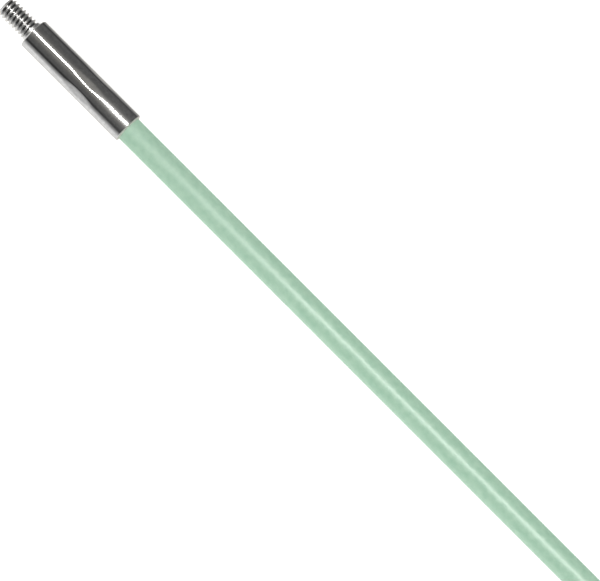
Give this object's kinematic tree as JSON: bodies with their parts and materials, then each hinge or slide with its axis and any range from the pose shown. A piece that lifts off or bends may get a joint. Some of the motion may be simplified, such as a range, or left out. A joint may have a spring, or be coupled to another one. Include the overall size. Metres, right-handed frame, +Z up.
{
  "type": "extension pole section",
  "caption": "Slim green-jacketed glass-fibre extension rod with a crimped chrome ferrule on each end, a threaded stud on one and a tapped hole in the other.",
  "frame": {"origin": "on the rod's axis, at the front ferrule's shoulder, where the threaded stud comes out", "axes": "+X along the rod, from the stud's shoulder to the rear ferrule; the stud points along -X; +Z up with the rod lying level"},
  "size_m": [0.9255, 0.0096, 0.0096],
  "materials": {
    "stud_steel": "bright plated",
    "ferrule_chrome": "polished, with fine handling marks",
    "adhesive": "cured epoxy bead",
    "glass_fibre": "pultruded, cut ends",
    "green_jacket": "satin, faintly wavy"
  },
  "bodies": {
    "root": {"threaded_stud": "stud_steel", "front_ferrule": "ferrule_chrome", "front_adhesive": "adhesive", "core_rod": "glass_fibre", "green_jacket": "green_jacket", "rear_ferrule": "ferrule_chrome", "rear_adhesive": "adhesive"}
  },
  "joints": []
}
